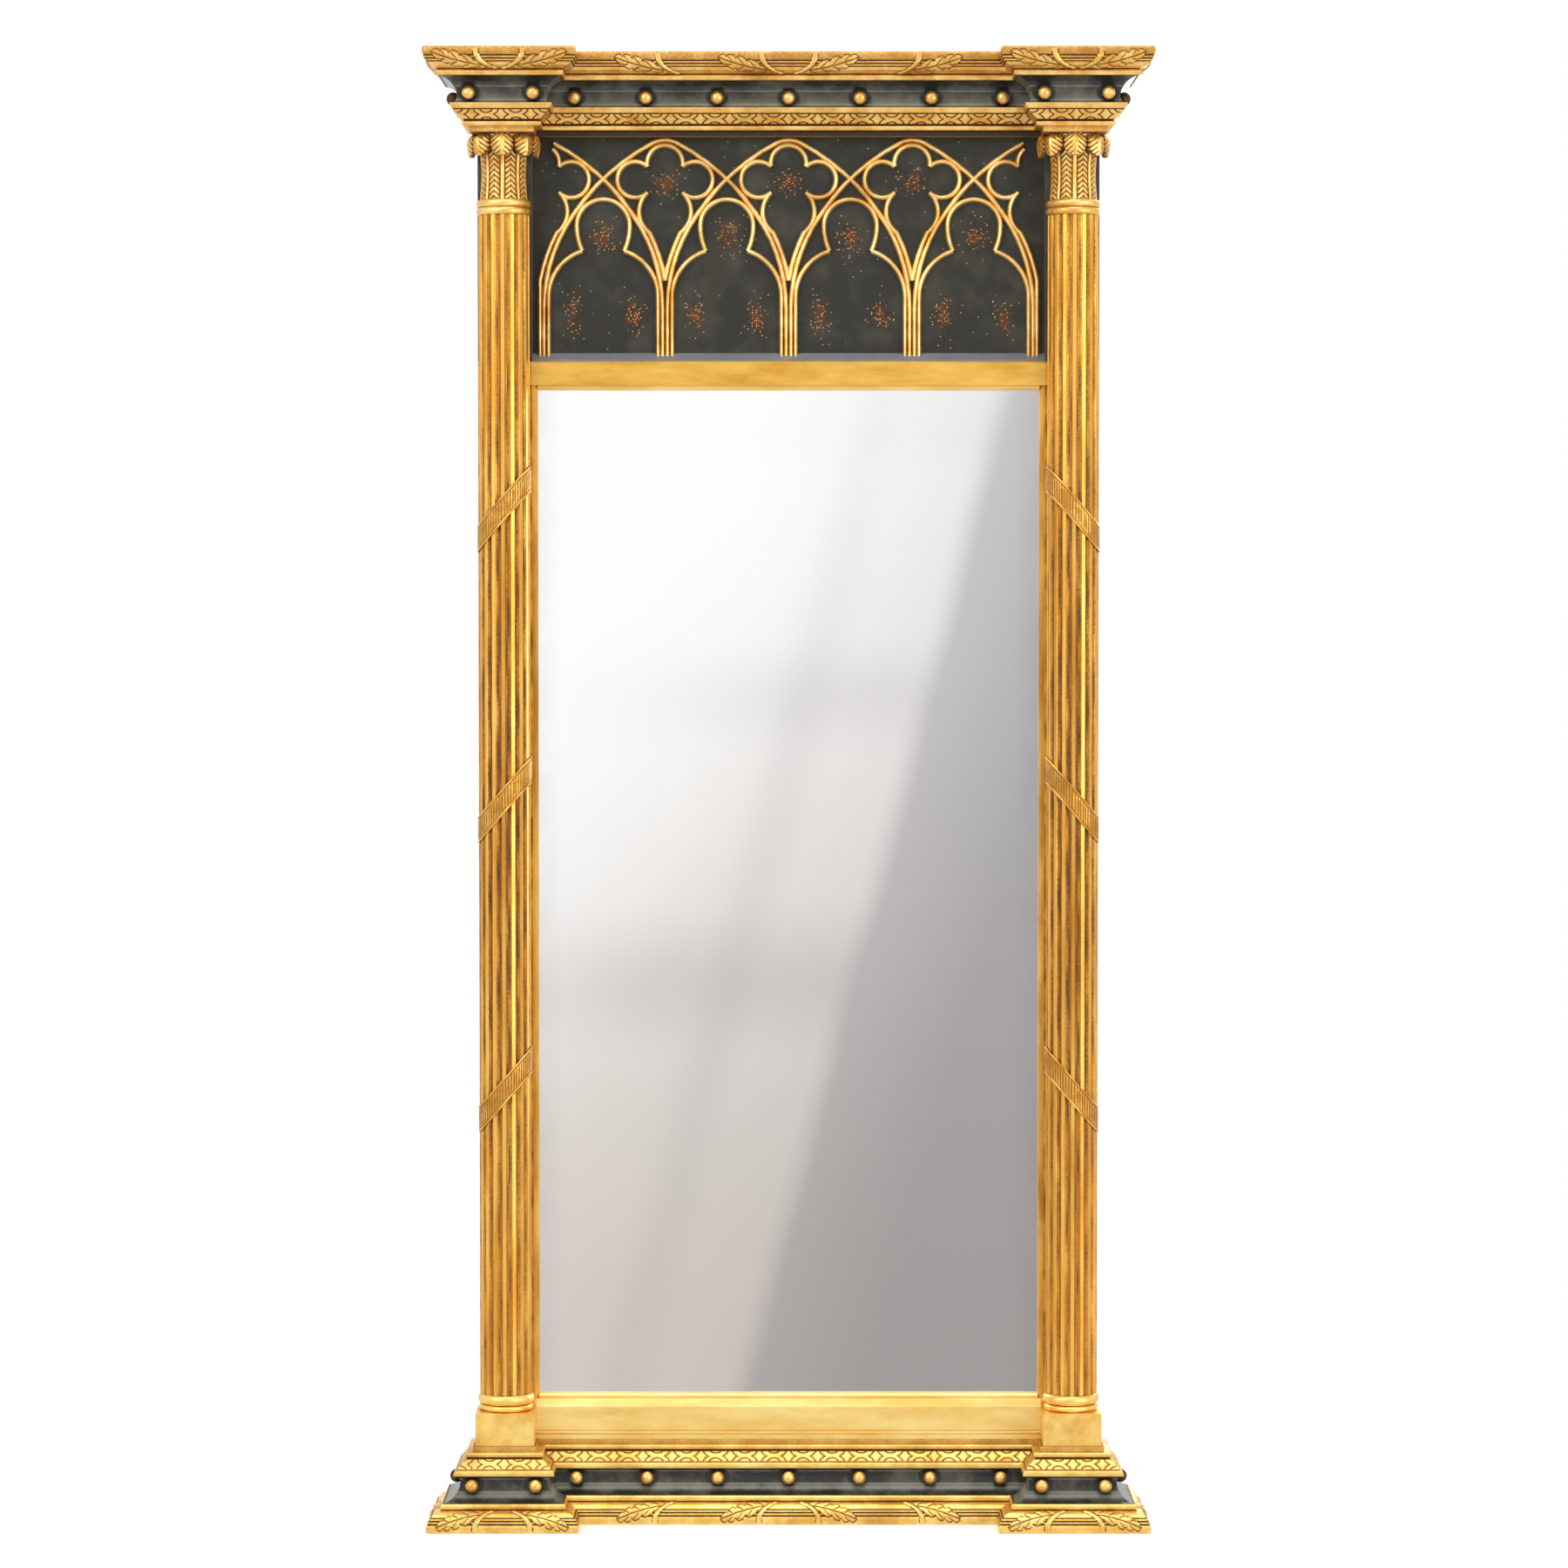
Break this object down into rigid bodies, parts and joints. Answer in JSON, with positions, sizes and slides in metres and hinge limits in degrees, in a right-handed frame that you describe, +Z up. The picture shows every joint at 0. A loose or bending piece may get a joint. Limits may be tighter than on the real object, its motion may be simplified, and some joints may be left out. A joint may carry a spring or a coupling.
{
  "type": "pier mirror",
  "caption": "Tall gilt and ebonised pier mirror with fluted columns, breakfront cornice and base, Gothic tracery frieze and a framed mirror plate.",
  "frame": {"origin": "middle of the footprint, on the floor plane under the base", "axes": "+Z up, +X to the right as seen from the front, -Y towards the viewer, +Y towards the wall"},
  "size_m": [0.637, 0.106, 1.3],
  "materials": {
    "gilt_wood": "worn gold leaf over gesso and red bole",
    "ebonised_wood": "dull black paint",
    "bare_pine": "aged bare pine",
    "mirror_plate": "silvered glass",
    "backboard": "thin aged pine board",
    "hanger_steel": "dull zinc",
    "screw_steel": "dull steel"
  },
  "bodies": {
    "frame": {"backing_fillets": "bare_pine", "base_balls": "gilt_wood", "base_band_centre": "gilt_wood", "base_band_left": "gilt_wood", "base_band_right": "gilt_wood", "base_block_left": "bare_pine", "base_block_right": "bare_pine", "base_cove_centre": "ebonised_wood", "base_cove_left": "ebonised_wood", "base_cove_right": "ebonised_wood", "base_crown_centre": "gilt_wood", "base_crown_left": "gilt_wood", "base_crown_right": "gilt_wood", "base_rail": "bare_pine", "bottom_rail": "gilt_wood", "column_bases": "gilt_wood", "cornice_balls": "gilt_wood", "cornice_band_centre": "gilt_wood", "cornice_band_left": "gilt_wood", "cornice_band_right": "gilt_wood", "cornice_block_left": "bare_pine", "cornice_block_right": "bare_pine", "cornice_cove_centre": "ebonised_wood", "cornice_cove_left": "ebonised_wood", "cornice_cove_right": "ebonised_wood", "cornice_crown_centre": "gilt_wood", "cornice_crown_left": "gilt_wood", "cornice_crown_right": "gilt_wood", "frieze_glue_blocks": "bare_pine", "frieze_panel": "ebonised_wood", "frieze_sill": "ebonised_wood", "frieze_tracery": "gilt_wood", "hanger_screws": "screw_steel", "hanger_straps": "hanger_steel", "left_capital": "gilt_wood", "left_column_shaft": "gilt_wood", "left_plinth": "gilt_wood", "left_ribbons": "gilt_wood", "left_sight_slip": "gilt_wood", "left_stile": "gilt_wood", "lower_sight_slip": "gilt_wood", "middle_rail": "gilt_wood", "mirror_backboard": "backboard", "mirror_glass": "mirror_plate", "neckings": "gilt_wood", "right_capital": "gilt_wood", "right_column_shaft": "gilt_wood", "right_plinth": "gilt_wood", "right_ribbons": "gilt_wood", "right_sight_slip": "gilt_wood", "right_stile": "gilt_wood", "top_rail": "bare_pine", "upper_sight_slip": "gilt_wood"},
    "left_ring": {"left_hanger_ring": "hanger_steel"},
    "right_ring": {"right_hanger_ring": "hanger_steel"}
  },
  "joints": [
    {"name": "left_ring_hinge", "type": "hinge", "parent": "frame", "child": "left_ring", "pos_m": [-0.2515, 0.049, 1.01], "axis": [1, 0, 0], "range_deg": [0, 180]},
    {"name": "right_ring_hinge", "type": "hinge", "parent": "frame", "child": "right_ring", "pos_m": [0.2515, 0.049, 1.01], "axis": [1, 0, 0], "range_deg": [0, 180]}
  ]
}
